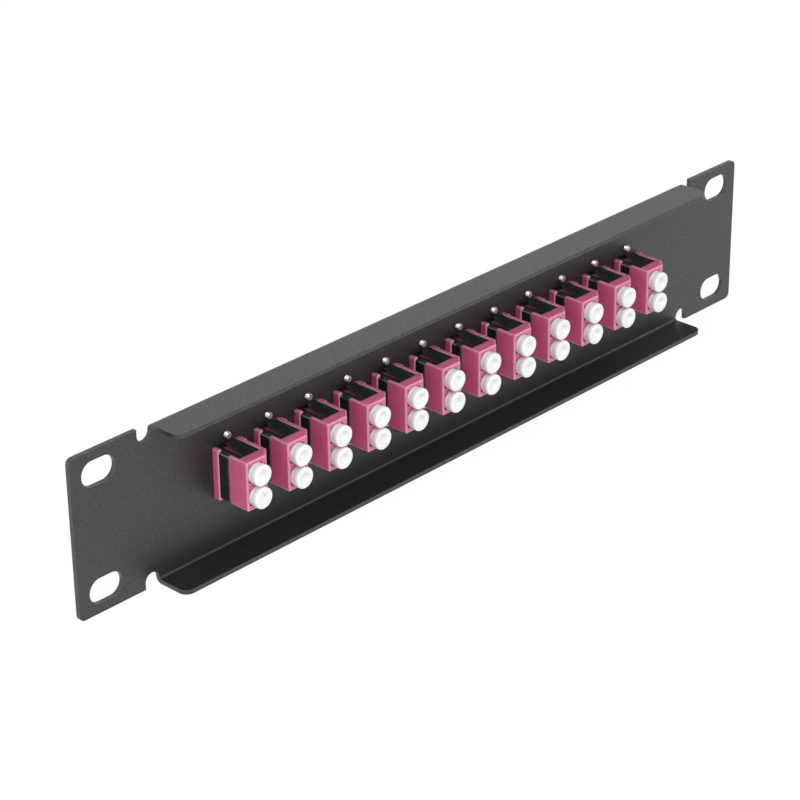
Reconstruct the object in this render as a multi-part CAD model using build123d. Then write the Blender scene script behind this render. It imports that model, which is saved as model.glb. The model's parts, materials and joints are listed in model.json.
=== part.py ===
"""Ten-inch, one-unit fibre patch panel with twelve duplex adapters.

Frame: millimetres, +Z up, X along the panel, +Y to the rear, the way the flanges point.
The origin is the centre of the four rack slots, on the rear face of the sheet.
"""
from build123d import *
from build123d import SkipClean
import os

# Folded sheet
PANEL_WIDTH = 254.0
PANEL_HEIGHT = 44.0
SHEET_THICKNESS = 1.2
EAR_CORNER_RADIUS = 1.7
FLANGE_LENGTH = 203.0
FLANGE_DEPTH = 9.7
FLANGE_CORNER_RADIUS = 2.5
BEND_INNER_RADIUS = 0.7
NOTCH_WIDTH = 4.4
NOTCH_DEPTH = 4.0

# Rack slots in the ears, and the clear width between the rails that the ears bear on
RACK_SLOT_SPACING_X = 236.525
RACK_SLOT_SPACING_Z = 31.75
RACK_SLOT_LENGTH = 10.4
RACK_SLOT_WIDTH = 6.8
RAIL_OPENING = 222.25

# Row of adapters
ADAPTER_COUNT = 12
ADAPTER_PITCH = 14.05
ROW_HEIGHT = 0.85
OPENING_CLEARANCE = 0.1

# Adapter housing: the reach is from either face of its flange to the end of the body
BODY_WIDTH = 8.8
BODY_HEIGHT = 13.2
BODY_REACH = 12.8
BODY_BEVEL = 2.2
COLLAR_WIDTH = 9.7
COLLAR_HEIGHT = 13.9
COLLAR_REACH = 1.95
ADAPTER_FLANGE_THICKNESS = 1.8
ADAPTER_FLANGE_WIDTH = 10.6
ADAPTER_FLANGE_HEIGHT = 22.0
ADAPTER_FLANGE_CORNER_RADIUS = 2.0

# Connector ports in the housing
PORT_PITCH = 6.25
PORT_SIZE = 4.75
PORT_TO_SIDE = 3.0
KEYWAY_WIDTH = 3.2
KEYWAY_DEPTH = 1.0
LATCH_SLOT_WIDTH = 1.7
LATCH_SLOT_DEPTH = 0.9
BULKHEAD_THICKNESS = 2.0
HOLDER_OUTER_RADIUS = 1.45
HOLDER_LIP = 0.3
HOLDER_LIP_RADIUS = 0.72

# Alignment sleeve inside each holder
SLEEVE_LENGTH = 11.4
SLEEVE_OUTER_RADIUS = 0.8
SLEEVE_INNER_RADIUS = 0.62
SLEEVE_SPLIT = 0.3
SLEEVE_CLEARANCE = 0.04

# Spring clip: plates sunk in the top and bottom of the housing, band flat on the plain side
CLIP_THICKNESS = 0.3
CLIP_SINK = 0.2
CLIP_EDGE_CLEARANCE = 0.05
CLIP_BEND_RADIUS = 0.5
BAND_WIDTH = 3.4
REAR_RIM = 3.2
PLAIN_SIDE_RAIL = 0.7
LATCH_SIDE_RAIL = 1.0
TONGUE_START = 1.4
TONGUE_LENGTH = 6.4
TONGUE_WIDTH = 3.4
TONGUE_FROM_SIDE = 2.7
TONGUE_LIFT = 1.4
TONGUE_SIDE_GAP = 0.35
TONGUE_END_GAP = 0.8

# Screws through the adapter flange into the tapped sheet
SCREW_SPACING = 18.0
SCREW_RADIUS = 1.0
SCREW_LENGTH = 4.0
SCREW_TIP_CHAMFER = 0.25
SCREW_HEAD_RADIUS = 1.9
SCREW_HEAD_HEIGHT = 1.4
SCREW_HEAD_CHAMFER = 0.4
SCREW_HOLE_CLEARANCE = 0.15
TAPPED_HOLE_CLEARANCE = 0.02

# Dust caps
CAP_STEM_LENGTH = 6.0
CAP_STEM_CLEARANCE = 0.18
CAP_STEM_WALL = 0.6
CAP_STEM_HOLLOW = 4.8
CAP_SEAT_OVERLAP = 0.325
CAP_SEAT_GAP = 0.05
CAP_NECK_LENGTH = 1.3
CAP_HEAD_RADIUS = 2.85
CAP_HEAD_LENGTH = 1.4
CAP_HEAD_CHAMFER = 0.3
CAP_RECESS_RADIUS = 1.3
CAP_RECESS_DEPTH = 1.0
CAP_RECESS_DRAFT = 0.4

# Places along Y that several pieces share
SHEET_REAR = 0.0
SHEET_FRONT = SHEET_REAR - SHEET_THICKNESS
FLANGE_FRONT = SHEET_FRONT - ADAPTER_FLANGE_THICKNESS
BODY_REAR = SHEET_FRONT + BODY_REACH
BODY_FRONT = FLANGE_FRONT - BODY_REACH
BODY_MIDDLE = (BODY_REAR + BODY_FRONT) / 2
COLLAR_END = SHEET_REAR + COLLAR_REACH
BAND = (COLLAR_END, COLLAR_END + BAND_WIDTH)
PLATE_POCKET = (SHEET_FRONT, BODY_REAR - REAR_RIM)

# Places across one adapter: the plain side is +X, the latch side is -X
PLAIN_SIDE = BODY_WIDTH / 2
LATCH_SIDE = -BODY_WIDTH / 2
PORT_X = PLAIN_SIDE - PORT_TO_SIDE
PORT_HEIGHTS = {"upper": PORT_PITCH / 2, "lower": -PORT_PITCH / 2}
POCKET_DEPTH = CLIP_THICKNESS + CLIP_SINK
TOP = BODY_HEIGHT / 2
POCKET_FLOOR = TOP - POCKET_DEPTH
SCREW_HEIGHTS = (SCREW_SPACING / 2, -SCREW_SPACING / 2)


def block(x_range, y_range, z_range):
    """A box between two values on each axis."""
    spans = (x_range, y_range, z_range)
    sizes = [high - low for low, high in spans]
    middles = [(high + low) / 2 for low, high in spans]
    return Pos(*middles) * Box(*sizes)


def along_y(sketch, start, end):
    """Extrude a sketch, drawn with X across and Y up, between two places on Y."""
    face = Plane(origin=(0, start, 0), x_dir=(1, 0, 0), z_dir=(0, -1, 0)) * sketch
    return extrude(face, amount=start - end)


def turned(points):
    """Revolve an outline of (radius, y) points about the Y axis."""
    return revolve(make_face(Polyline(*points, close=True)), Axis.Y)


def adapter_places():
    """X of each adapter, from the +X end of the row."""
    first = ADAPTER_PITCH * (ADAPTER_COUNT - 1) / 2
    return [first - ADAPTER_PITCH * number for number in range(ADAPTER_COUNT)]


def channel():
    """The web between the notches with its two flanges, bent to the rear."""
    top = PANEL_HEIGHT / 2
    inside = top - SHEET_THICKNESS
    outline = Polyline(
        (SHEET_FRONT, -top),
        (FLANGE_DEPTH, -top),
        (FLANGE_DEPTH, -inside),
        (SHEET_REAR, -inside),
        (SHEET_REAR, inside),
        (FLANGE_DEPTH, inside),
        (FLANGE_DEPTH, top),
        (SHEET_FRONT, top),
        close=True,
    )
    profile = make_face(outline)
    outer = [v for v in profile.vertices() if abs(v.X - SHEET_FRONT) < 1e-6]
    profile = fillet(outer, BEND_INNER_RADIUS + SHEET_THICKNESS)
    inner = [v for v in profile.vertices() if abs(v.X - SHEET_REAR) < 1e-6 and abs(abs(v.Y) - inside) < 1e-6]
    profile = fillet(inner, BEND_INNER_RADIUS)
    section = Plane(origin=(-FLANGE_LENGTH / 2, 0, 0), x_dir=(0, 1, 0), z_dir=(1, 0, 0)) * profile
    bar = extrude(section, amount=FLANGE_LENGTH)
    corners = [e for e in bar.edges().filter_by(Axis.Z) if abs(e.center().Y - FLANGE_DEPTH) < 1e-6]
    return fillet(corners, FLANGE_CORNER_RADIUS)


def panel():
    """The folded sheet, with its rack slots, relief notches and adapter openings."""
    sheet = RectangleRounded(PANEL_WIDTH, PANEL_HEIGHT, EAR_CORNER_RADIUS)
    notch_x = (FLANGE_LENGTH + NOTCH_WIDTH) / 2
    notch_z = PANEL_HEIGHT / 2 - NOTCH_DEPTH + NOTCH_WIDTH / 2
    strip_height = PANEL_HEIGHT / 2 - notch_z
    for side in (1, -1):
        strip = Rectangle(FLANGE_LENGTH + 2 * NOTCH_WIDTH, strip_height)
        sheet -= Pos(0, side * (notch_z + strip_height / 2)) * strip
        sheet -= [Pos(x, side * notch_z) * Circle(NOTCH_WIDTH / 2) for x in (-notch_x, notch_x)]
    plate = along_y(sheet, SHEET_FRONT, SHEET_REAR)
    folded = plate + channel()
    slots = GridLocations(RACK_SLOT_SPACING_X, RACK_SLOT_SPACING_Z, 2, 2)
    cuts = [place * SlotOverall(RACK_SLOT_LENGTH, RACK_SLOT_WIDTH) for place in slots]
    opening = Rectangle(
        COLLAR_WIDTH + 2 * OPENING_CLEARANCE, COLLAR_HEIGHT + 2 * OPENING_CLEARANCE
    )
    for x in adapter_places():
        cuts.append(Pos(x, ROW_HEIGHT) * opening)
        for z in SCREW_HEIGHTS:
            cuts.append(Pos(x, ROW_HEIGHT + z) * Circle(SCREW_RADIUS + TAPPED_HOLE_CLEARANCE))
    return with_bearing_faces(folded - [along_y(cut, SHEET_FRONT, SHEET_REAR) for cut in cuts])


def with_bearing_faces(sheet):
    """The same sheet, with the face of each ear ending where the rack's rail ends."""
    rail = RAIL_OPENING / 2
    everywhere = (-PANEL_HEIGHT, PANEL_HEIGHT)
    spans = ((-PANEL_WIDTH, -rail), (-rail, rail), (rail, PANEL_WIDTH))
    ear, middle, other_ear = [sheet & block(span, everywhere, everywhere) for span in spans]
    with SkipClean():
        return middle + ear + other_ear


def clip_pocket():
    """The spaces sunk into the top and bottom of the housing for the clip's plates and bends."""
    rail = (PLAIN_SIDE - PLAIN_SIDE_RAIL, PLAIN_SIDE)
    plate = (LATCH_SIDE + LATCH_SIDE_RAIL, PLAIN_SIDE - PLAIN_SIDE_RAIL)
    spaces = []
    for heights in ((POCKET_FLOOR, TOP), (-TOP, -POCKET_FLOOR)):
        spaces.append(block(plate, PLATE_POCKET, heights))
        spaces.append(block(rail, BAND, heights))
    return spaces


def collar():
    """The step that fills the opening in the sheet, higher along the plain side."""
    half_width = COLLAR_WIDTH / 2
    half_height = COLLAR_HEIGHT / 2
    reach = (SHEET_FRONT, COLLAR_END)
    high_part = (PLAIN_SIDE - PLAIN_SIDE_RAIL, half_width)
    step = block((-half_width, half_width), reach, (-TOP, TOP))
    return step + block(high_part, reach, (-half_height, half_height))


def ports(z):
    """The two facing connector ports on one axis, down to the bulkhead between them."""
    half_port = PORT_SIZE / 2
    half_key = KEYWAY_WIDTH / 2
    half_slot = LATCH_SLOT_WIDTH / 2
    port_side = PORT_X - half_port
    key_side = port_side - KEYWAY_DEPTH
    mouth = (
        Pos(PORT_X, z) * Rectangle(PORT_SIZE, PORT_SIZE)
        + Pos((port_side + key_side) / 2, z) * Rectangle(KEYWAY_DEPTH, 2 * half_key)
        + Pos(key_side - LATCH_SLOT_DEPTH / 2, z) * Rectangle(LATCH_SLOT_DEPTH, 2 * half_slot)
    )
    half_wall = BULKHEAD_THICKNESS / 2
    rear = along_y(mouth, BODY_MIDDLE + half_wall, BODY_REAR)
    front = along_y(mouth, BODY_FRONT, BODY_MIDDLE - half_wall)
    return [rear, front]


def holder(z):
    """The tube that holds the alignment sleeve, right through the bulkhead."""
    half_length = SLEEVE_LENGTH / 2 + SLEEVE_CLEARANCE + HOLDER_LIP
    tube = Pos(PORT_X, z) * Circle(HOLDER_OUTER_RADIUS)
    return along_y(tube, BODY_MIDDLE - half_length, BODY_MIDDLE + half_length)


def holder_bore(z):
    """The sleeve's seat and the narrower mouth that keeps it in at either end."""
    half_seat = SLEEVE_LENGTH / 2 + SLEEVE_CLEARANCE
    seat = Pos(PORT_X, z) * Circle(SLEEVE_OUTER_RADIUS + SLEEVE_CLEARANCE)
    mouth = Pos(PORT_X, z) * Circle(HOLDER_LIP_RADIUS)
    return [
        along_y(seat, BODY_MIDDLE - half_seat, BODY_MIDDLE + half_seat),
        along_y(mouth, BODY_MIDDLE - half_seat - HOLDER_LIP, BODY_MIDDLE + half_seat + HOLDER_LIP),
    ]


def adapter_housing():
    """One moulded housing: body, flange, four ports, holders and the clip's recess."""
    body = block((LATCH_SIDE, PLAIN_SIDE), (BODY_FRONT, BODY_REAR), (-TOP, TOP))
    latch_edges = [e for e in body.edges().filter_by(Axis.Z) if e.center().X < 0]
    body = chamfer(latch_edges, BODY_BEVEL)
    flange = RectangleRounded(
        ADAPTER_FLANGE_WIDTH, ADAPTER_FLANGE_HEIGHT, ADAPTER_FLANGE_CORNER_RADIUS
    )
    hole = Circle(SCREW_RADIUS + SCREW_HOLE_CLEARANCE)
    flange -= [Pos(0, z) * hole for z in SCREW_HEIGHTS]
    body += along_y(flange, FLANGE_FRONT, SHEET_FRONT)
    body += collar()
    body -= clip_pocket()
    for z in PORT_HEIGHTS.values():
        body -= ports(z)
    for z in PORT_HEIGHTS.values():
        body += holder(z)
        body -= holder_bore(z)
    return body


def alignment_sleeve():
    """A split tube that lines two ferrules up."""
    ring = Circle(SLEEVE_OUTER_RADIUS) - Circle(SLEEVE_INNER_RADIUS)
    ring -= Pos(SLEEVE_OUTER_RADIUS, 0) * Rectangle(2 * SLEEVE_INNER_RADIUS, SLEEVE_SPLIT)
    return along_y(ring, BODY_MIDDLE - SLEEVE_LENGTH / 2, BODY_MIDDLE + SLEEVE_LENGTH / 2)


def clip():
    """A strip of spring steel, bent round the plain side, with a tongue on each plate."""
    inner_side = PLAIN_SIDE
    inner_top = POCKET_FLOOR
    outer_side = inner_side + CLIP_THICKNESS
    outer_top = inner_top + CLIP_THICKNESS
    plate_end = LATCH_SIDE + LATCH_SIDE_RAIL + CLIP_EDGE_CLEARANCE
    outer = make_face(
        Polyline(
            (plate_end, -outer_top),
            (outer_side, -outer_top),
            (outer_side, outer_top),
            (plate_end, outer_top),
            close=True,
        )
    )
    bends = [v for v in outer.vertices() if v.X > 0]
    outer = fillet(bends, CLIP_BEND_RADIUS)
    inner = Pos((plate_end + inner_side) / 2, 0) * Rectangle(inner_side - plate_end, 2 * inner_top)
    band_start, band_end = BAND
    strip = along_y(outer - inner, band_start + CLIP_EDGE_CLEARANCE, band_end - CLIP_EDGE_CLEARANCE)
    plate_x = (plate_end, PLAIN_SIDE - PLAIN_SIDE_RAIL - CLIP_EDGE_CLEARANCE)
    pocket_start, pocket_end = PLATE_POCKET
    plate_y = (pocket_start + CLIP_EDGE_CLEARANCE, pocket_end - CLIP_EDGE_CLEARANCE)
    tongue_high = PLAIN_SIDE - TONGUE_FROM_SIDE
    tongue_x = (tongue_high - TONGUE_WIDTH, tongue_high)
    root = TONGUE_START + TONGUE_LENGTH
    window_x = (tongue_x[0] - TONGUE_SIDE_GAP, tongue_x[1] + TONGUE_SIDE_GAP)
    window_y = (TONGUE_START - TONGUE_END_GAP, root)
    tongue = make_face(
        Polyline(
            (root, inner_top),
            (root, outer_top),
            (TONGUE_START, outer_top + TONGUE_LIFT),
            (TONGUE_START, inner_top + TONGUE_LIFT),
            close=True,
        )
    )
    section = Plane(origin=(tongue_x[0], 0, 0), x_dir=(0, 1, 0), z_dir=(1, 0, 0))
    upper_tongue = extrude(section * tongue, amount=TONGUE_WIDTH)
    for low, high in ((inner_top, outer_top), (-outer_top, -inner_top)):
        strip += block(plate_x, plate_y, (low, high))
        strip -= block(window_x, window_y, (low, high))
    return strip + upper_tongue + mirror(upper_tongue, Plane.XY)


def screw():
    """A pan-head screw from the front, with its tip past the rear face of the sheet."""
    head_front = FLANGE_FRONT - SCREW_HEAD_HEIGHT
    tip = FLANGE_FRONT + SCREW_LENGTH
    return turned(
        [
            (0, head_front),
            (SCREW_HEAD_RADIUS - SCREW_HEAD_CHAMFER, head_front),
            (SCREW_HEAD_RADIUS, head_front + SCREW_HEAD_CHAMFER),
            (SCREW_HEAD_RADIUS, FLANGE_FRONT),
            (SCREW_RADIUS, FLANGE_FRONT),
            (SCREW_RADIUS, tip - SCREW_TIP_CHAMFER),
            (SCREW_RADIUS - SCREW_TIP_CHAMFER, tip),
            (0, tip),
        ]
    )


def dust_cap():
    """A moulded cap about the Y axis: stem towards -Y, seat at 0 and head towards +Y."""
    stem_radius = PORT_SIZE / 2 - CAP_STEM_CLEARANCE
    hollow_radius = stem_radius - CAP_STEM_WALL
    neck_radius = PORT_SIZE / 2 + CAP_SEAT_OVERLAP
    head_end = CAP_NECK_LENGTH + CAP_HEAD_LENGTH
    return turned(
        [
            (0, CAP_STEM_HOLLOW - CAP_STEM_LENGTH),
            (hollow_radius, CAP_STEM_HOLLOW - CAP_STEM_LENGTH),
            (hollow_radius, -CAP_STEM_LENGTH),
            (stem_radius, -CAP_STEM_LENGTH),
            (stem_radius, 0),
            (neck_radius, 0),
            (neck_radius, CAP_NECK_LENGTH),
            (CAP_HEAD_RADIUS, CAP_NECK_LENGTH),
            (CAP_HEAD_RADIUS, head_end - CAP_HEAD_CHAMFER),
            (CAP_HEAD_RADIUS - CAP_HEAD_CHAMFER, head_end),
            (CAP_RECESS_RADIUS, head_end),
            (CAP_RECESS_RADIUS - CAP_RECESS_DRAFT, head_end - CAP_RECESS_DEPTH),
            (0, head_end - CAP_RECESS_DEPTH),
        ]
    )


def save(name, *solids):
    """Write one node, of one solid or of several separate ones."""
    shape = solids[0] if len(solids) == 1 else Compound(children=list(solids))
    shape.label = name
    export_step(shape, f"parts/{name}.step")


def main():
    os.makedirs("parts", exist_ok=True)
    save("panel", panel())

    housing = adapter_housing()
    rear_cap = dust_cap()
    front_cap = Rot(0, 0, 180) * rear_cap
    rear_seat = BODY_REAR + CAP_SEAT_GAP
    front_seat = BODY_FRONT - CAP_SEAT_GAP
    row = [Pos(x, 0, ROW_HEIGHT) for x in adapter_places()]
    for number, place in enumerate(row, start=1):
        save(f"adapter_{number:02d}", place * housing)
        for height, z in PORT_HEIGHTS.items():
            save(f"rear_cap_{number:02d}_{height}", place * Pos(PORT_X, rear_seat, z) * rear_cap)
        pair = [place * Pos(PORT_X, front_seat, z) * front_cap for z in PORT_HEIGHTS.values()]
        save(f"front_caps_{number:02d}", *pair)

    one_clip = clip()
    save("spring_clips", *[place * one_clip for place in row])

    one_screw = screw()
    save("flange_screws", *[place * Pos(0, 0, z) * one_screw for place in row for z in SCREW_HEIGHTS])

    sleeve = alignment_sleeve()
    axes = [Pos(PORT_X, 0, z) for z in PORT_HEIGHTS.values()]
    save("alignment_sleeves", *[place * axis * sleeve for place in row for axis in axes])


main()
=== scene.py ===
"""Dresses the packed fibre patch panel: its finishes, moulded caps, threaded screws, stage and camera."""

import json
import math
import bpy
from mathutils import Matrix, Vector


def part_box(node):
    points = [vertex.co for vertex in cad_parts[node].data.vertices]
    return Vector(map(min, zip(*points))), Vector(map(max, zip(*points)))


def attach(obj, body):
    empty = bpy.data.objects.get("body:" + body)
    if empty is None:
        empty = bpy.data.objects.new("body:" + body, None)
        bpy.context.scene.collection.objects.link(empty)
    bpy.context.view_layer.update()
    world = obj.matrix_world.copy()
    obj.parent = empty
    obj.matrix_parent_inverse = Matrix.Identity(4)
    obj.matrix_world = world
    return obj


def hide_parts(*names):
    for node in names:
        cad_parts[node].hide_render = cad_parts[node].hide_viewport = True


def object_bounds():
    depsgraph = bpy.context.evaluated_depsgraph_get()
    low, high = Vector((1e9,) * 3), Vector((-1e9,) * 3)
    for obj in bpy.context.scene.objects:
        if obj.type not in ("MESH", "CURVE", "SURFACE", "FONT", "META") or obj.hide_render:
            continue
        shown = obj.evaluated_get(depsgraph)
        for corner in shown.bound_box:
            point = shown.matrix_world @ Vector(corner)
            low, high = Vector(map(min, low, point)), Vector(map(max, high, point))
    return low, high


bl_info = {
    "name": "Fibre patch panel",
    "version": (1, 0, 0),
    "blender": (4, 5, 0),
    "location": "3D View > Sidebar > Patch panel",
    "description": "Finishes, dust caps, screws, stage and camera for the packed patch panel",
    "category": "Object",
}

import bmesh
import bpy
from bpy.props import FloatProperty, FloatVectorProperty, IntProperty, PointerProperty
from mathutils import Matrix, Vector

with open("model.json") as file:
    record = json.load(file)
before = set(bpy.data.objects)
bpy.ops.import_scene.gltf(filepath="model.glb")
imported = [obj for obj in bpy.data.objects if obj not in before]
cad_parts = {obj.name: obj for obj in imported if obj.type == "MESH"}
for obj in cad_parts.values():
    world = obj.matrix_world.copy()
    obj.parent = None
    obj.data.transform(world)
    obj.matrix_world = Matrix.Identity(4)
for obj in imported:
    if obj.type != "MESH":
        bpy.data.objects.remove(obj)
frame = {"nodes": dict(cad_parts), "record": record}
CAD_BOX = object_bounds()

MM = 0.001
ADAPTERS = sorted(name for name in frame["nodes"] if name.startswith("adapter_"))
REAR_CAPS = sorted(name for name in frame["nodes"] if name.startswith("rear_cap_"))
FRONT_CAPS = sorted(name for name in frame["nodes"] if name.startswith("front_caps_"))
BODY_OF = {node: body for body, nodes in frame["record"]["behaviour"]["bodies"].items() for node in nodes}

# Creases sharper than this stay sharp in a smooth mesh
CREASE = math.radians(40)

# The sockets of a Mix node that mixes colours; its other kinds of value share their names
MIX_FACTOR = 0
MIX_FIRST = 6
MIX_SECOND = 7
MIX_RESULT = 2


def length(name, description, millimetres):
    """A size that a user may change, shown in the scene's length unit."""
    return FloatProperty(
        name=name,
        description=description,
        default=millimetres * MM,
        min=0.0,
        precision=5,
        unit="LENGTH",
        subtype="DISTANCE",
    )


def spot(name, description, x, y, z):
    """A place in metres on the panel's own axes."""
    return FloatVectorProperty(
        name=name,
        description=description,
        default=(x, y, z),
        size=3,
        precision=5,
        unit="LENGTH",
        subtype="XYZ",
    )


def angle(name, description, degrees):
    """An angle, given in degrees and kept in radians."""
    return FloatProperty(
        name=name, description=description, default=math.radians(degrees), subtype="ANGLE"
    )


def colour(name, description, red, green, blue):
    """A finish's colour."""
    return FloatVectorProperty(
        name=name,
        description=description,
        default=(red, green, blue),
        size=3,
        min=0,
        max=1,
        subtype="COLOR",
    )


def share(name, description, value):
    """A number between 0 and 1."""
    return FloatProperty(
        name=name, description=description, default=value, min=0, max=1, subtype="FACTOR"
    )


def watts(name, description, value):
    """A lamp's power."""
    return FloatProperty(name=name, description=description, default=value, min=0, unit="POWER")


def facets(description, default, most):
    """How many flat facets make a round shape."""
    return IntProperty(name="Facets", description=description, default=default, min=8, max=most)


class SheetSettings(bpy.types.PropertyGroup):
    """The folded sheet's powder coat."""

    coat: colour("Coat", "Colour of the powder coat", 0.007, 0.007, 0.0075)
    # The dust colour also serves as the painted highlight along the cut edges.
    dust_and_edge_highlight: colour("Dust", "Colour that the coat's fine peaks catch", 0.040, 0.040, 0.041)
    sheen: share("Sheen", "Share of light that the coat mirrors", 0.66)
    roughness: share("Roughness", "Mean roughness of the coat", 0.46)
    gloss: share("Gloss", "Roughness of the glossy film on the grain", 0.38)
    grain: length("Grain", "Width of one grain of the coat", 0.58)
    swell: length("Swell", "Width of the slow swells under the grain", 1.74)
    cloud: length("Cloud", "Width of the coat's faint clouding", 30.0)
    specks: length("Specks", "Distance between two light specks", 2.1)
    relief: length("Relief", "Height of the grain", 0.065)
    edge: length("Edge", "Radius that the coat gives to cut edges", 0.3)


class HousingSettings(bpy.types.PropertyGroup):
    """The moulded duplex adapters."""

    plastic: colour("Plastic", "Colour of the housings", 0.63, 0.115, 0.235)
    # The thin-plastic colour is a painted highlight on the rounded moulded edges, for light catching them and
    # shining through them.
    thin: colour("Thin plastic", "Colour where light shines through thin plastic", 0.96, 0.50, 0.64)
    roughness: share("Roughness", "Mean roughness of the moulding", 0.36)
    edge: length("Edge", "Width of the lighter, rounded look of the moulded edges", 0.9)
    cloud: length("Cloud", "Width of the plastic's faint clouding", 4.0)
    pores: length("Pores", "Width of the moulding's fine texture", 0.22)
    relief: length("Relief", "Height of the texture", 0.006)
    glow: length("Glow", "How far light travels in the plastic", 0.6)


class ClipSettings(bpy.types.PropertyGroup):
    """The spring clips round the housings."""

    steel: colour("Steel", "Colour of the blackened spring steel", 0.034, 0.042, 0.039)
    # The bright steel colour is both thinner blacking and the painted highlight on the folds and edges.
    bright: colour("Bright steel", "Colour where the blacking is thin", 0.44, 0.46, 0.45)
    roughness: share("Roughness", "Mean roughness of the strip", 0.30)
    # The edge width sets the painted highlight along the strip's edges.
    edge: length("Edge", "Width of the worn look of the strip's edges", 0.25)
    lines: length("Lines", "Width of one line of the rolling grain", 0.08)
    cloud: length("Cloud", "Width of the blacking's clouding", 2.0)
    relief: length("Relief", "Height of the rolling grain", 0.002)


class SleeveSettings(bpy.types.PropertyGroup):
    """The split alignment sleeves inside the housings."""

    ceramic: colour("Ceramic", "Colour of the ceramic", 0.90, 0.89, 0.84)
    shade: colour("Shade", "Colour in the darker clouds of the ceramic", 0.84, 0.83, 0.79)
    roughness: share("Roughness", "Least roughness of the ground surface", 0.16)
    rings: length("Rings", "Width of one ring left by the grinding", 0.06)
    cloud: length("Cloud", "Width of the ceramic's clouding", 1.5)
    relief: length("Relief", "Height of the rings", 0.001)


class ScrewSettings(bpy.types.PropertyGroup):
    """The flange screws."""

    plating: colour("Plating", "Colour of the bright plating", 0.76, 0.76, 0.75)
    roughness: share("Roughness", "Mean roughness of the plating", 0.28)
    cloud: length("Cloud", "Width of the plating's clouding", 0.9)
    marks: length("Marks", "Width of one turning mark", 0.05)
    relief: length("Relief", "Height of the turning marks", 0.002)
    spacing: length("Spacing", "Distance between the two screws of an adapter", 18.0)
    major: length("Thread radius", "Radius over the crests of the thread", 1.0)
    minor: length("Root radius", "Radius at the root of the thread", 0.76)
    pitch: length("Pitch", "Distance between two turns of the thread", 0.4)
    head_radius: length("Head radius", "Radius of the pan head", 1.9)
    head_height: length("Head height", "Height of the pan head", 1.4)
    crown_fillet: length("Crown fillet", "Radius between the head's flat crown and its side", 0.30)
    rim_fillet: length("Rim fillet", "Radius half-way down the head's side", 0.35)
    seat_fillet: length("Seat fillet", "Radius at the head's underside", 0.08)
    recess_width: length("Recess width", "Width over the wings of the cross recess", 2.1)
    recess_depth: length("Recess depth", "Depth of the cross recess", 0.9)
    turn: angle("Turn", "How far each screw is turned from the one before", 51.56620156)
    segments: facets("Facets round one screw", 24, 64)


class CapSettings(bpy.types.PropertyGroup):
    """The dust caps."""

    plastic: colour("Plastic", "Colour of the soft cap plastic", 0.82, 0.835, 0.82)
    shade: colour("Shade", "Colour in the thicker places of the cap", 0.72, 0.74, 0.735)
    roughness: share("Roughness", "Mean roughness of the moulding", 0.40)
    cloud: length("Cloud", "Width of the plastic's milky clouding", 1.6)
    pores: length("Pores", "Width of the moulding's fine texture", 0.18)
    relief: length("Relief", "Height of the texture", 0.006)
    glow: length("Glow", "How far light travels in the plastic", 0.9)
    stem_radius: length("Stem radius", "Radius of the stem in the port", 2.195)
    stem_length: length("Stem length", "Length of the stem in the port", 6.0)
    stem_wall: length("Stem wall", "Wall of the hollow stem", 0.6)
    hollow: length("Hollow", "Depth of the stem's hollow", 4.8)
    neck_radius: length("Neck radius", "Radius of the neck outside the port", 2.7)
    neck_length: length("Neck length", "Length of the neck", 1.3)
    head_radius: length("Head radius", "Radius of the head", 2.85)
    head_length: length("Head length", "Length of the head", 1.4)
    rim: length("Rim", "Radius of the head's rounded rim", 0.38)
    recess_radius: length("Recess radius", "Radius of the recess in the head", 1.5)
    mouth: length("Mouth", "Radius of the recess's rounded mouth", 0.5)
    recess_floor: length("Recess floor", "Radius of the recess at its floor", 0.95)
    recess_depth: length("Recess depth", "Depth of the recess in the head", 1.15)
    fillet: length("Fillet", "Radius of the smallest moulded edges", 0.12)
    segments: facets("Facets round one cap", 48, 96)


class StageSettings(bpy.types.PropertyGroup):
    """Floor, lights and camera."""

    floor: colour("Floor", "Colour of the floor", 0.90, 0.90, 0.90)
    floor_radius: length("Floor radius", "Radius of the round floor", 6000.0)
    floor_gap: length("Floor gap", "How far the floor lies below the panel", 0.02)
    white: share("White", "How much of the floor the camera sees as plain white", 0.80)
    surround: FloatProperty(
        name="Surround", description="Strength of the light all round", default=0.70, min=0
    )
    key: watts("Key", "Power of the key lamp", 5.5)
    key_spot: spot("Key place", "Where the key lamp hangs", 0.25, 0.75, 0.75)
    key_size: length("Key size", "Side of the square key lamp", 700.0)
    fill: watts("Fill", "Power of the fill lamp", 3.2)
    fill_spot: spot("Fill place", "Where the fill lamp hangs", 0.9, -0.15, 0.45)
    fill_size: length("Fill size", "Side of the square fill lamp", 800.0)
    azimuth: angle("Azimuth", "Camera's direction round the panel", 133.902)
    elevation: angle("Elevation", "Camera's height above the horizon", 26.665)
    roll: angle("Roll", "Camera's tilt", -0.757)
    distance: length("Distance", "From the camera to the point it looks at", 718.97)
    aim: spot("Aim", "The point that the camera looks at", 0.01018, -0.00521, -0.00741)
    lens: FloatProperty(
        name="Lens", description="Focal length", default=121.651, min=1, unit="CAMERA"
    )
    sensor: FloatProperty(
        name="Sensor", description="Width of the camera's frame", default=36.0, min=1, unit="CAMERA"
    )


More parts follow.
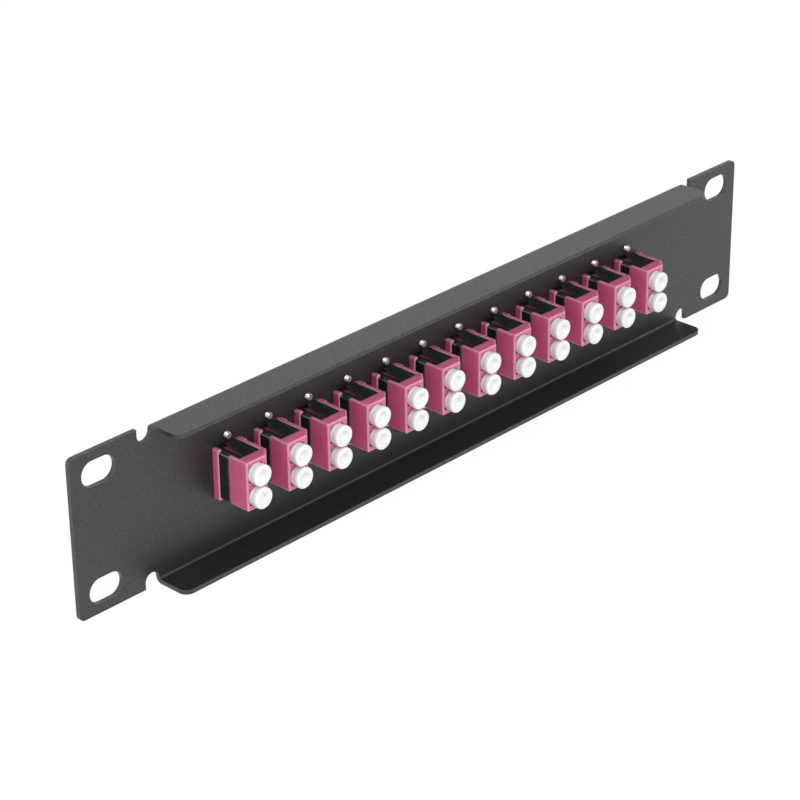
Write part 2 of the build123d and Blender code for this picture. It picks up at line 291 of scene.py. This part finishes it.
class Shade:
    """One output in a finish's nodes, with Python arithmetic for values."""

    def __init__(self, finish, socket):
        self.finish = finish
        self.socket = socket

    def _math(self, operation, first, second):
        return self.finish.node("ShaderNodeMath", {"operation": operation}, {0: first, 1: second})

    def __add__(self, other):
        return self._math("ADD", self, other)

    def __radd__(self, other):
        return self._math("ADD", other, self)

    def __sub__(self, other):
        return self._math("SUBTRACT", self, other)

    def __rsub__(self, other):
        return self._math("SUBTRACT", other, self)

    def __mul__(self, other):
        return self._math("MULTIPLY", self, other)

    def __rmul__(self, other):
        return self._math("MULTIPLY", other, self)

    def higher(self, other):
        """The larger of two values."""
        return self._math("MAXIMUM", self, other)

    def swing(self, amount):
        """Noise as a change by up to half the amount either way."""
        return (self - 0.5) * amount

    def between(self, low, high):
        """0 below low, 1 above high and a smooth step from one to the other."""
        smooth = {"interpolation_type": "SMOOTHSTEP"}
        inputs = {"Value": self, "From Min": low, "From Max": high}
        return self.finish.node("ShaderNodeMapRange", smooth, inputs)


class Finish:
    """The nodes of a material or of the world, added one by one."""

    def __init__(self, holder):
        holder.use_nodes = True
        self.holder = holder
        self.tree = holder.node_tree
        self.tree.nodes.clear()

    def node(self, kind, settings=None, inputs=None, output=0):
        """Adds a node with its settings and sockets, and gives one of its outputs, if it has any."""
        node = self.tree.nodes.new(kind)
        for key, value in (settings or {}).items():
            setattr(node, key, value)
        for key, value in (inputs or {}).items():
            if isinstance(value, Shade):
                self.tree.links.new(value.socket, node.inputs[key])
            else:
                node.inputs[key].default_value = value
        return None if output is None else Shade(self, node.outputs[output])

    def place(self):
        """Where a point is in its own piece, in metres."""
        return self.node("ShaderNodeTexCoord", output="Object")

    def stretched(self, place, x, y, z):
        """A place with its axes scaled."""
        return self.node("ShaderNodeVectorMath", {"operation": "MULTIPLY"}, {0: place, 1: (x, y, z)})

    def noise(self, place, width, detail=2.0, roughness=0.5):
        """Soft noise with features about as wide as given, in metres."""
        inputs = {"Vector": place, "Scale": 1 / width, "Detail": detail, "Roughness": roughness}
        return self.node("ShaderNodeTexNoise", None, inputs)

    def cells(self, place, width):
        """Distance to the nearest of many scattered points, about one width apart."""
        return self.node("ShaderNodeTexVoronoi", None, {"Vector": place, "Scale": 1 / width})

    def mixed(self, factor, first, second):
        """A colour between two others."""
        inputs = {MIX_FACTOR: factor, MIX_FIRST: opaque(first), MIX_SECOND: opaque(second)}
        return self.node("ShaderNodeMix", {"data_type": "RGBA"}, inputs, MIX_RESULT)

    def facing(self):
        """The surface's own normal."""
        return self.node("ShaderNodeNewGeometry", output="Normal")

    def edges(self, radius, full=0.25):
        """The normal with its edges rounded, and how far it turns there.

        The second is 1 where the cosine of the turn has dropped by full.
        """
        rounded = self.node("ShaderNodeBevel", {"samples": 4}, {"Radius": radius})
        both = {0: rounded, 1: self.facing()}
        cosine = self.node("ShaderNodeVectorMath", {"operation": "DOT_PRODUCT"}, both, "Value")
        return rounded, (1 - cosine).between(full * 0.04, full)

    def folds(self):
        """How far the surface turns round a fold that runs along Y, 1 at half a right angle."""
        facing = self.facing()
        x = self.node("ShaderNodeSeparateXYZ", None, {0: facing}, "X")
        z = self.node("ShaderNodeSeparateXYZ", None, {0: facing}, "Z")
        return (x * x * z * z * 4).between(0.3, 0.9)

    def bump(self, height, distance, strength, normal=None):
        """A normal tilted by a height."""
        inputs = {"Height": height, "Distance": distance, "Strength": strength}
        if normal is not None:
            inputs["Normal"] = normal
        return self.node("ShaderNodeBump", None, inputs)

    def surface(self, **sockets):
        """Ends the material in one Principled shader, with sockets named in lower case."""
        named = {key.replace("_", " ").title().replace("Ior", "IOR"): value for key, value in sockets.items()}
        return self.end(self.node("ShaderNodeBsdfPrincipled", None, named))

    def end(self, shader, output="ShaderNodeOutputMaterial"):
        """Ends the nodes in a given shader."""
        self.node(output, None, {"Surface": shader}, None)
        return self.holder


def opaque(value):
    """A colour with its alpha, or a link as it is."""
    return value if isinstance(value, Shade) else (*value[:3], 1.0)


def powder_coat(sheet):
    """Fine-grained satin powder coat, with a painted highlight along its cut edges."""
    finish = Finish(bpy.data.materials.new("satin_powder_coat"))
    place = finish.place()
    grain = finish.noise(place, sheet.grain, 3.0, 0.6)
    swell = finish.noise(place, sheet.swell)
    cloud = finish.noise(place, sheet.cloud)
    specks = 1 - finish.cells(place, sheet.specks).between(0.05, 0.16)
    rounded, highlit = finish.edges(sheet.edge)
    peaks = grain.between(0.55, 0.85)
    haze = cloud.between(0.35, 0.8)
    film = grain.between(0.38, 0.68)
    # Base colour lightened by the grain's peaks, light specks and clouding, and by a painted highlight along
    # the cut edges.
    catch = peaks * 0.35 + highlit * 0.8 + specks * 0.25 + haze * 0.06
    return finish.surface(
        base_color=finish.mixed(catch, sheet.coat, sheet.dust_and_edge_highlight),
        roughness=sheet.roughness + grain.swing(0.22) + cloud.swing(0.08),
        specular_ior_level=sheet.sheen,
        coat_weight=film * 0.55 + highlit,
        coat_roughness=sheet.gloss,
        normal=finish.bump(grain * 0.7 + swell * 0.5, sheet.relief, 0.9, rounded),
    )


def housing_plastic(housing):
    """Satin moulded plastic with a painted highlight along its edges."""
    finish = Finish(bpy.data.materials.new("pink_housing_plastic"))
    place = finish.place()
    cloud = finish.noise(place, housing.cloud, 3.0)
    pores = finish.noise(place, housing.pores)
    # Painted highlight along the moulded edges, mixed with faint random clouding below.
    rounded, thin = finish.edges(housing.edge, 0.12)
    cloud_and_edge_highlight = thin * 0.95 + cloud.between(0.3, 0.8) * 0.10
    return finish.surface(
        base_color=finish.mixed(cloud_and_edge_highlight, housing.plastic, housing.thin),
        roughness=housing.roughness + pores.swing(0.14) + cloud.swing(0.08),
        normal=finish.bump(pores + cloud * 0.6, housing.relief, 0.8, rounded),
        subsurface_weight=0.12,
        subsurface_radius=(1.0, 0.35, 0.45),
        subsurface_scale=housing.glow,
    )


def clip_steel(clip):
    """Blackened spring steel with its rolling grain along Y, and a painted highlight on its folds and edges.
    """
    finish = Finish(bpy.data.materials.new("blackened_clip_steel"))
    place = finish.place()
    lines = finish.noise(finish.stretched(place, 1.0, 0.06, 1.0), clip.lines)
    cloud = finish.noise(place, clip.cloud, 3.0)
    rounded, highlit = finish.edges(clip.edge)
    # Painted highlight across the folds, in patches.
    fold_highlight = finish.folds() * cloud.between(0.30, 0.55)
    streaks = lines.between(0.55, 0.9)
    patches = cloud.between(0.5, 0.9)
    # Lighter rolling streaks and blacking patches, plus painted highlights on the folds and edges.
    catch = fold_highlight * 0.85 + highlit * 0.45 + streaks * 0.16 + patches * 0.10
    return finish.surface(
        base_color=finish.mixed(catch, clip.steel, clip.bright),
        metallic=0.6,
        roughness=clip.roughness + lines.swing(0.16) + cloud.swing(0.10),
        normal=finish.bump(lines, clip.relief, 0.8, rounded),
    )


def sleeve_ceramic(sleeve):
    """Ground ceramic, faintly ringed by the grinding."""
    finish = Finish(bpy.data.materials.new("ground_sleeve_ceramic"))
    place = finish.place()
    rings = finish.noise(finish.stretched(place, 0.1, 1.0, 0.1), sleeve.rings)
    cloud = finish.noise(place, sleeve.cloud)
    return finish.surface(
        base_color=finish.mixed(cloud, sleeve.ceramic, sleeve.shade),
        roughness=sleeve.roughness + rings * 0.12,
        normal=finish.bump(rings, sleeve.relief, 0.7),
    )


def screw_plating(screw):
    """Bright plating with faint clouding and turning marks."""
    finish = Finish(bpy.data.materials.new("bright_screw_plating"))
    place = finish.place()
    cloud = finish.noise(place, screw.cloud, 3.0)
    marks = finish.noise(finish.stretched(place, 0.15, 1.0, 0.15), screw.marks)
    dull = [0.78 * value for value in screw.plating]
    return finish.surface(
        base_color=finish.mixed(cloud.between(0.35, 0.75), screw.plating, dull),
        metallic=1.0,
        roughness=screw.roughness + (cloud - 0.4) * 0.18,
        normal=finish.bump(marks, screw.relief, 0.6),
    )


def cap_plastic(cap):
    """Soft, slightly milky moulded plastic, made once for all the caps."""
    made = bpy.data.materials.get("milky_cap_plastic")
    if made:
        return made
    finish = Finish(bpy.data.materials.new("milky_cap_plastic"))
    place = finish.place()
    cloud = finish.noise(place, cap.cloud, 3.0)
    pores = finish.noise(place, cap.pores)
    return finish.surface(
        base_color=finish.mixed(cloud.between(0.35, 0.9) * 0.6, cap.plastic, cap.shade),
        roughness=cap.roughness + pores.swing(0.16) + cloud.swing(0.10),
        normal=finish.bump(pores + cloud * 1.5, cap.relief, 0.8),
        subsurface_weight=0.2,
        subsurface_radius=(1.0, 0.95, 0.85),
        subsurface_scale=cap.glow,
        coat_weight=0.05,
    )


def stage_floor(stage):
    """A floor that the camera and mirrors see nearly white, with the object's shadow."""
    finish = Finish(bpy.data.materials.new("floor"))
    matt = finish.node("ShaderNodeBsdfDiffuse", None, {"Color": opaque(stage.floor)})
    glow = finish.node("ShaderNodeEmission", None, {"Strength": 1.08})
    inputs = {0: seen_directly(finish) * stage.white, 1: matt, 2: glow}
    return finish.end(finish.node("ShaderNodeMixShader", None, inputs))


def seen_directly(finish):
    """1 for camera, glossy and transmission rays."""
    camera = finish.node("ShaderNodeLightPath", output="Is Camera Ray")
    glossy = finish.node("ShaderNodeLightPath", output="Is Glossy Ray")
    through = finish.node("ShaderNodeLightPath", output="Is Transmission Ray")
    return camera.higher(glossy).higher(through)


def paint(node, material):
    """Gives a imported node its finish."""
    slots = frame["nodes"][node].data.materials
    slots.clear()
    slots.append(material)


def rounded_outline(corners, steps=4):
    """An outline of (radius, y, fillet) corners as points, with each fillet drawn as an arc."""
    points = []
    for index, (radius, y, fillet) in enumerate(corners):
        here = Vector((radius, y))
        if fillet == 0:
            points.append(here)
            continue
        before = (Vector(corners[index - 1][:2]) - here).normalized()
        after = (Vector(corners[(index + 1) % len(corners)][:2]) - here).normalized()
        half = before.angle(after) / 2
        centre = here + (before + after).normalized() * (fillet / math.sin(half))
        first = here + before * (fillet / math.tan(half)) - centre
        last = here + after * (fillet / math.tan(half)) - centre
        turn = first.angle_signed(last)
        points += [centre + first @ Matrix.Rotation(turn * step / steps, 2) for step in range(steps + 1)]
    return points


def turned_mesh(name, outline, segments):
    """A closed body of revolution about the Y axis, from (radius, y) points that start and end on it."""
    work = bmesh.new()
    verts = [work.verts.new((point.x, point.y, 0)) for point in outline]
    for first, second in zip(verts, verts[1:]):
        work.edges.new((first, second))
    bmesh.ops.spin(
        work,
        geom=work.verts[:] + work.edges[:],
        cent=(0, 0, 0),
        axis=(0, 1, 0),
        angle=2 * math.pi,
        steps=segments,
    )
    bmesh.ops.remove_doubles(work, verts=work.verts[:], dist=1e-7)
    return finished_mesh(name, work)


def finished_mesh(name, work):
    """A smooth-shaded mesh with outward faces from a bmesh, which it frees."""
    bmesh.ops.recalc_face_normals(work, faces=work.faces[:])
    mesh = bpy.data.meshes.new(name)
    work.to_mesh(mesh)
    work.free()
    mesh.shade_smooth()
    mesh.set_sharp_from_angle(angle=CREASE)
    return mesh


def add_piece(name, mesh, material, node):
    """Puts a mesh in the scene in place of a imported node, on the body that the node rides on."""
    piece = bpy.data.objects.new(name, mesh)
    bpy.context.scene.collection.objects.link(piece)
    if not mesh.materials:
        mesh.materials.append(material)
    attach(piece, BODY_OF[node])
    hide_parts(node)


def merged(name, mesh, matrices):
    """One mesh with a copy of another at each place."""
    work = bmesh.new()
    for matrix in matrices:
        start = len(work.verts)
        work.from_mesh(mesh)
        work.verts.ensure_lookup_table()
        bmesh.ops.transform(work, matrix=matrix, verts=work.verts[start:])
    return finished_mesh(name, work)


def cap_mesh(cap, name):
    """One dust cap about the Y axis: seat at 0, head towards +Y, hollow stem towards -Y."""
    inner = cap.stem_radius - cap.stem_wall
    hollow_end = cap.hollow - cap.stem_length
    head_end = cap.neck_length + cap.head_length
    recess_end = head_end - cap.recess_depth
    corners = [
        (0, hollow_end, 0),
        (inner, hollow_end, cap.fillet * 2),
        (inner, -cap.stem_length, cap.fillet),
        (cap.stem_radius, -cap.stem_length, cap.fillet * 2),
        (cap.stem_radius, 0, 0),
        (cap.neck_radius, 0, cap.fillet),
        (cap.neck_radius, cap.neck_length, cap.fillet),
        (cap.head_radius, cap.neck_length, cap.fillet * 2),
        (cap.head_radius, head_end, cap.rim),
        (cap.recess_radius, head_end, cap.mouth),
        (cap.recess_floor, recess_end, cap.fillet * 3),
        (0, recess_end, 0),
    ]
    return turned_mesh(name, rounded_outline(corners), cap.segments)


def screw_mesh(screw, name, reach):
    """One pan-head screw about the Y axis, its head's underside at 0 and its tip at +reach."""
    blank = turned_mesh(name + "_head", rounded_outline(pan_head(screw), 5), screw.segments)
    work = bmesh.new()
    work.from_mesh(with_cross_recess(blank, screw))
    add_thread(work, screw, reach)
    return finished_mesh(name, work)


def pan_head(screw):
    """The outline of the head as (radius, y, fillet) corners."""
    crown_radius = screw.head_radius * 0.62
    shoulder = screw.head_height * 0.45
    return [
        (0, -screw.head_height, 0),
        (crown_radius, -screw.head_height, screw.crown_fillet),
        (screw.head_radius, -shoulder, screw.rim_fillet),
        (screw.head_radius, 0, screw.seat_fillet),
        (screw.minor, 0, 0),
        (0, 0, 0),
    ]


def add_thread(work, screw, reach):
    """Adds a threaded shank to a bmesh, from inside the head to a slightly tapered tip."""
    root = 0.1 * MM
    rings_per_turn = 6
    count = int(reach / screw.pitch * rings_per_turn)
    rings = []
    for index in range(count + 1):
        y = -root + (reach + root) * index / count
        taper = screw.minor * 0.95 + max(0.0, reach - y) * 1.2
        ring = []
        for corner in range(screw.segments):
            angle_round = 2 * math.pi * corner / screw.segments
            turn = (y / screw.pitch - corner / screw.segments) % 1.0
            crest = 1 - abs(2 * turn - 1)
            radius = min(screw.minor + (screw.major - screw.minor) * crest, taper)
            point = (radius * math.cos(angle_round), y, radius * math.sin(angle_round))
            ring.append(work.verts.new(point))
        rings.append(ring)
    join_rings(work, rings)


def join_rings(work, rings):
    """Faces from each ring of vertices to the next, and one over each end."""
    for low, high in zip(rings, rings[1:]):
        for corner in range(len(low)):
            after = (corner + 1) % len(low)
            work.faces.new((low[corner], low[after], high[after], high[corner]))
    work.faces.new(rings[0])
    work.faces.new(rings[-1][::-1])


def with_cross_recess(mesh, screw):
    """The head with a tapered cross cut into its top."""
    half = screw.recess_width / 2
    wing = screw.recess_width * 0.14
    cross = [(half, wing), (wing, wing), (wing, half)]
    corners = [Matrix.Rotation(math.pi / 2 * turn, 2) @ Vector(p) for turn in range(4) for p in cross]
    top = -screw.head_height
    mouth = (top - 0.1 * MM, 1.0)
    floor = (top + screw.recess_depth, 0.55)
    work = bmesh.new()
    rings = []
    for y, size in (mouth, floor):
        rings.append([work.verts.new((p.x * size, y, p.y * size)) for p in corners])
    join_rings(work, rings)
    tool = bpy.data.objects.new("recess_tool", finished_mesh("recess_tool", work))
    blank = bpy.data.objects.new("screw_blank", mesh)
    for thing in (tool, blank):
        bpy.context.scene.collection.objects.link(thing)
    cut = blank.modifiers.new("Recess", "BOOLEAN")
    cut.operation = "DIFFERENCE"
    cut.solver = "EXACT"
    cut.object = tool
    view = bpy.context.evaluated_depsgraph_get()
    result = bpy.data.meshes.new_from_object(blank.evaluated_get(view))
    bpy.data.objects.remove(tool)
    bpy.data.objects.remove(blank)
    return result


class PATCHPANEL_OT_sheet(bpy.types.Operator):
    """Powder coat on the folded sheet."""

    bl_idname = "patchpanel.sheet"
    bl_label = "Sheet"

    def execute(self, context):
        paint("panel", powder_coat(context.scene.patch_panel.sheet))
        return {"FINISHED"}


class PATCHPANEL_OT_housings(bpy.types.Operator):
    """Moulded plastic on the duplex adapters."""

    bl_idname = "patchpanel.housings"
    bl_label = "Housings"

    def execute(self, context):
        material = housing_plastic(context.scene.patch_panel.housing)
        for name in ADAPTERS:
            paint(name, material)
        return {"FINISHED"}


class PATCHPANEL_OT_clips(bpy.types.Operator):
    """Blackened spring steel on the clips."""

    bl_idname = "patchpanel.clips"
    bl_label = "Clips"

    def execute(self, context):
        paint("spring_clips", clip_steel(context.scene.patch_panel.clip))
        return {"FINISHED"}


class PATCHPANEL_OT_sleeves(bpy.types.Operator):
    """Ground ceramic on the alignment sleeves."""

    bl_idname = "patchpanel.sleeves"
    bl_label = "Sleeves"

    def execute(self, context):
        paint("alignment_sleeves", sleeve_ceramic(context.scene.patch_panel.sleeve))
        return {"FINISHED"}


class PATCHPANEL_OT_screws(bpy.types.Operator):
    """Threaded pan-head screws through the adapters' flanges."""

    bl_idname = "patchpanel.screws"
    bl_label = "Screws"

    def execute(self, context):
        screw = context.scene.patch_panel.screw
        low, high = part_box("flange_screws")
        under_head = low.y + screw.head_height
        one = screw_mesh(screw, "one_screw", high.y - under_head)
        places = []
        for name in ADAPTERS:
            middle = sum(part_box(name), Vector()) / 2
            for side in (1, -1):
                seat = Vector((middle.x, under_head, middle.z + side * screw.spacing / 2))
                turn = Matrix.Rotation(len(places) * screw.turn, 4, "Y")
                places.append(Matrix.Translation(seat) @ turn)
        mesh = merged("flange_screws_threaded", one, places)
        add_piece("flange_screws_threaded", mesh, screw_plating(screw), "flange_screws")
        return {"FINISHED"}


class PATCHPANEL_OT_rear_caps(bpy.types.Operator):
    """Soft moulded dust caps in the rear ports."""

    bl_idname = "patchpanel.rear_caps"
    bl_label = "Rear caps"

    def execute(self, context):
        cap = context.scene.patch_panel.cap
        one = cap_mesh(cap, "rear_cap_moulded")
        for name in REAR_CAPS:
            low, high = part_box(name)
            mesh = one.copy()
            seat = Vector(((low.x + high.x) / 2, low.y + cap.stem_length, (low.z + high.z) / 2))
            mesh.transform(Matrix.Translation(seat))
            add_piece(name + "_moulded", mesh, cap_plastic(cap), name)
        return {"FINISHED"}


class PATCHPANEL_OT_front_caps(bpy.types.Operator):
    """Soft moulded dust caps in the front ports, a pair for each adapter."""

    bl_idname = "patchpanel.front_caps"
    bl_label = "Front caps"

    def execute(self, context):
        cap = context.scene.patch_panel.cap
        one = cap_mesh(cap, "front_cap_moulded")
        half_turn = Matrix.Rotation(math.pi, 4, "Z")
        for name in FRONT_CAPS:
            low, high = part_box(name)
            x, seat_y = (low.x + high.x) / 2, high.y - cap.stem_length
            heights = (high.z - cap.head_radius, low.z + cap.head_radius)
            places = [Matrix.Translation((x, seat_y, z)) @ half_turn for z in heights]
            pair = merged(name + "_moulded", one, places)
            add_piece(name + "_moulded", pair, cap_plastic(cap), name)
        return {"FINISHED"}


class PATCHPANEL_OT_stage(bpy.types.Operator):
    """Pale floor, soft light all round, two soft lamps and the camera."""

    bl_idname = "patchpanel.stage"
    bl_label = "Stage"

    def execute(self, context):
        stage = context.scene.patch_panel.stage
        scene = context.scene
        scene.view_settings.view_transform = "Standard"
        self.floor(scene, stage)
        self.surround(scene, stage.surround)
        self.lamp(scene, "key_lamp", stage.key, stage.key_spot, stage.key_size)
        self.lamp(scene, "fill_lamp", stage.fill, stage.fill_spot, stage.fill_size)
        self.camera(scene, stage)
        return {"FINISHED"}

    def floor(self, scene, stage):
        """A round floor just under the panel."""
        mesh = bpy.data.meshes.new("floor")
        work = bmesh.new()
        bmesh.ops.create_circle(work, cap_ends=True, segments=96, radius=stage.floor_radius)
        bmesh.ops.translate(work, verts=work.verts[:], vec=(0, 0, CAD_BOX[0].z - stage.floor_gap))
        work.to_mesh(mesh)
        work.free()
        mesh.materials.append(stage_floor(stage))
        floor = bpy.data.objects.new("floor", mesh)
        scene.collection.objects.link(floor)

    def surround(self, scene, strength):
        """A pale world that lights the object softly and that the camera sees as white."""
        scene.world = bpy.data.worlds.new("surround")
        finish = Finish(scene.world)
        level = seen_directly(finish) * (1 - strength) + strength
        glow = finish.node("ShaderNodeBackground", None, {"Color": opaque((1, 1, 1)), "Strength": level})
        finish.end(glow, "ShaderNodeOutputWorld")

    def lamp(self, scene, name, power, place, size):
        """A square soft lamp that points at the panel."""
        light = bpy.data.lights.new(name, "AREA")
        light.energy = power
        light.size = size
        lamp = bpy.data.objects.new(name, light)
        lamp.location = place
        lamp.rotation_mode = "QUATERNION"
        lamp.rotation_quaternion = Vector(place).to_track_quat("Z", "Y")
        scene.collection.objects.link(lamp)

    def camera(self, scene, stage):
        """The camera, at the photograph's angle."""
        data = bpy.data.cameras.new("camera")
        data.sensor_width = stage.sensor
        data.lens = stage.lens
        data.clip_start = 10 * MM
        data.clip_end = 50.0
        camera = bpy.data.objects.new("camera", data)
        scene.collection.objects.link(camera)
        level = math.cos(stage.elevation)
        x = math.sin(stage.azimuth) * level
        y = -math.cos(stage.azimuth) * level
        back = Vector((x, y, math.sin(stage.elevation)))
        turn = back.to_track_quat("Z", "Y").to_matrix().to_4x4()
        roll = Matrix.Rotation(stage.roll, 4, "Z")
        place = Vector(stage.aim) + back * stage.distance
        camera.matrix_world = Matrix.Translation(place) @ turn @ roll
        scene.camera = camera


class PatchPanelSettings(bpy.types.PropertyGroup):
    """All the settings of the panel's looks."""

    sheet: PointerProperty(type=SheetSettings)
    housing: PointerProperty(type=HousingSettings)
    clip: PointerProperty(type=ClipSettings)
    sleeve: PointerProperty(type=SleeveSettings)
    screw: PointerProperty(type=ScrewSettings)
    cap: PointerProperty(type=CapSettings)
    stage: PointerProperty(type=StageSettings)


OPERATORS = (
    PATCHPANEL_OT_sheet,
    PATCHPANEL_OT_housings,
    PATCHPANEL_OT_clips,
    PATCHPANEL_OT_sleeves,
    PATCHPANEL_OT_screws,
    PATCHPANEL_OT_rear_caps,
    PATCHPANEL_OT_front_caps,
    PATCHPANEL_OT_stage,
)


class PATCHPANEL_PT_sidebar(bpy.types.Panel):
    """Lists the pieces of the patch panel."""

    bl_label = "Patch panel"
    bl_idname = "PATCHPANEL_PT_sidebar"
    bl_space_type = "VIEW_3D"
    bl_region_type = "UI"
    bl_category = "Patch panel"

    def draw(self, context):
        for operator in OPERATORS:
            self.layout.operator(operator.bl_idname)


CLASSES = (
    SheetSettings,
    HousingSettings,
    ClipSettings,
    SleeveSettings,
    ScrewSettings,
    CapSettings,
    StageSettings,
    PatchPanelSettings,
    *OPERATORS,
    PATCHPANEL_PT_sidebar,
)


def register():
    """Registers the classes and puts the settings on the scene."""
    for item in CLASSES:
        bpy.utils.register_class(item)
    bpy.types.Scene.patch_panel = PointerProperty(type=PatchPanelSettings)


def unregister():
    """Takes the settings off the scene and unregisters the classes."""
    del bpy.types.Scene.patch_panel
    for item in reversed(CLASSES):
        bpy.utils.unregister_class(item)


def main():
    """Dresses the frame."""
    register()
    bpy.ops.patchpanel.sheet()
    bpy.ops.patchpanel.housings()
    bpy.ops.patchpanel.clips()
    bpy.ops.patchpanel.sleeves()
    bpy.ops.patchpanel.screws()
    bpy.ops.patchpanel.rear_caps()
    bpy.ops.patchpanel.front_caps()
    bpy.ops.patchpanel.stage()


if __name__ == "__main__":
    main()
